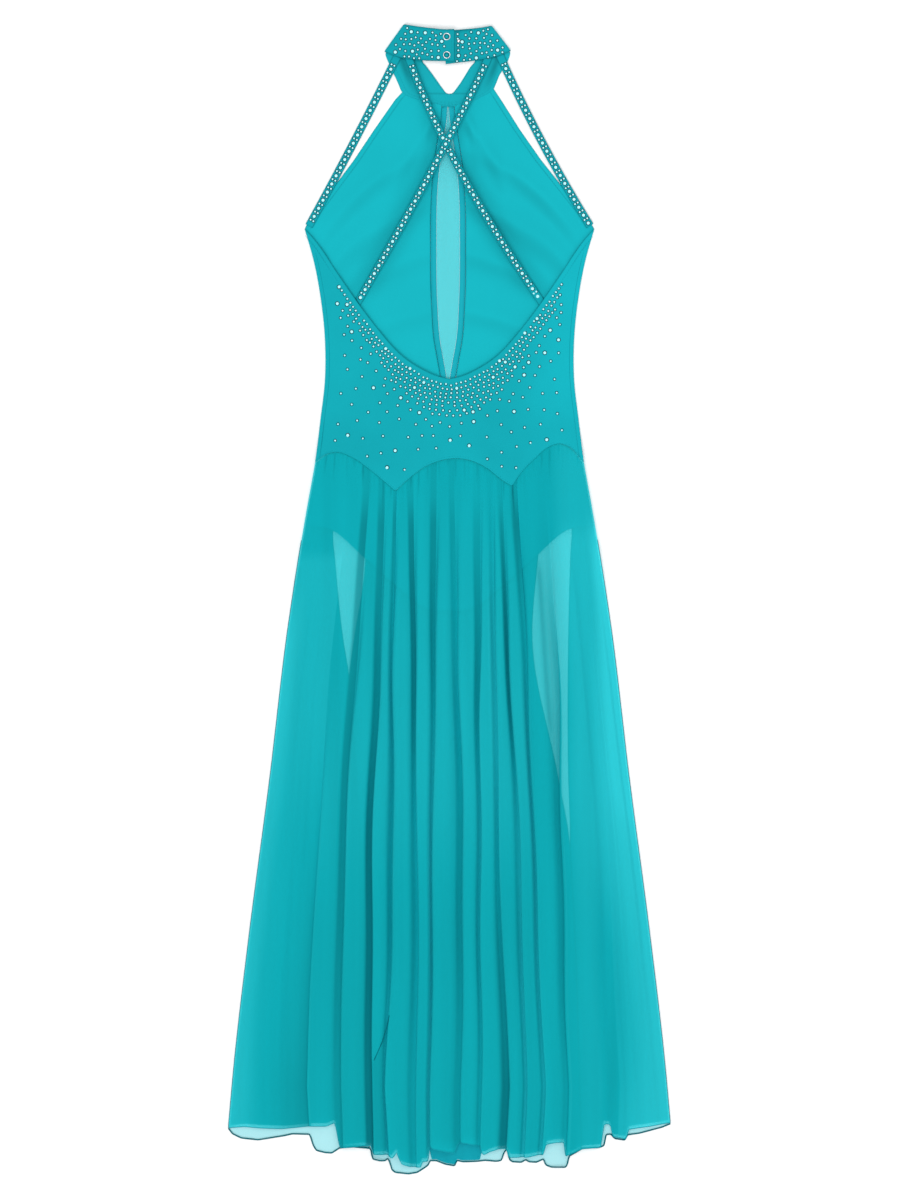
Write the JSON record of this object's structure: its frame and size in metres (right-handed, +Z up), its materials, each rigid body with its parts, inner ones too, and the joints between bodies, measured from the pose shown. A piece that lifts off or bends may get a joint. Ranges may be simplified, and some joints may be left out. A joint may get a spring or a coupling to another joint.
{
  "type": "lyrical dance dress",
  "caption": "Long sleeveless dance dress laid flat, back up: halter collar with snaps, open back with crossed straps, keyhole of mesh, built-in brief and a long full chiffon skirt.",
  "frame": {"origin": "middle of the dress's outline on the surface that it lies on", "axes": "+Y up the dress from hem to collar, +X to the right as the back is looked at, +Z up from the surface"},
  "size_m": [0.5082, 1.3213, 0.0157],
  "materials": {
    "stretch_knit": "matt four-way stretch knit with a soft sheen",
    "knit_binding": "turned and topstitched stretch knit",
    "sheer_mesh": "fine sheer stretch mesh",
    "chiffon": "sheer crepe chiffon with a narrow rolled hem",
    "snap_metal": "polished nickel snap ring",
    "rhinestone": "faceted foil-backed crystal"
  },
  "bodies": {
    "root": {"front_bodice_left": "stretch_knit", "front_bodice_right": "stretch_knit", "keyhole_mesh": "sheer_mesh", "keyhole_binding_left": "knit_binding", "keyhole_binding_right": "knit_binding", "front_yoke": "knit_binding", "collar_band": "stretch_knit", "snap_upper": "snap_metal", "snap_lower": "snap_metal", "back_bodice": "stretch_knit", "strap_outer_left": "stretch_knit", "strap_outer_right": "stretch_knit", "strap_cross_under": "stretch_knit", "strap_cross_over": "stretch_knit", "brief_front": "stretch_knit", "brief_back": "stretch_knit", "front_skirt_left": "chiffon", "front_skirt_middle": "chiffon", "front_skirt_right": "chiffon", "back_skirt_left": "chiffon", "back_skirt_middle": "chiffon", "back_skirt_right": "chiffon"}
  },
  "joints": []
}
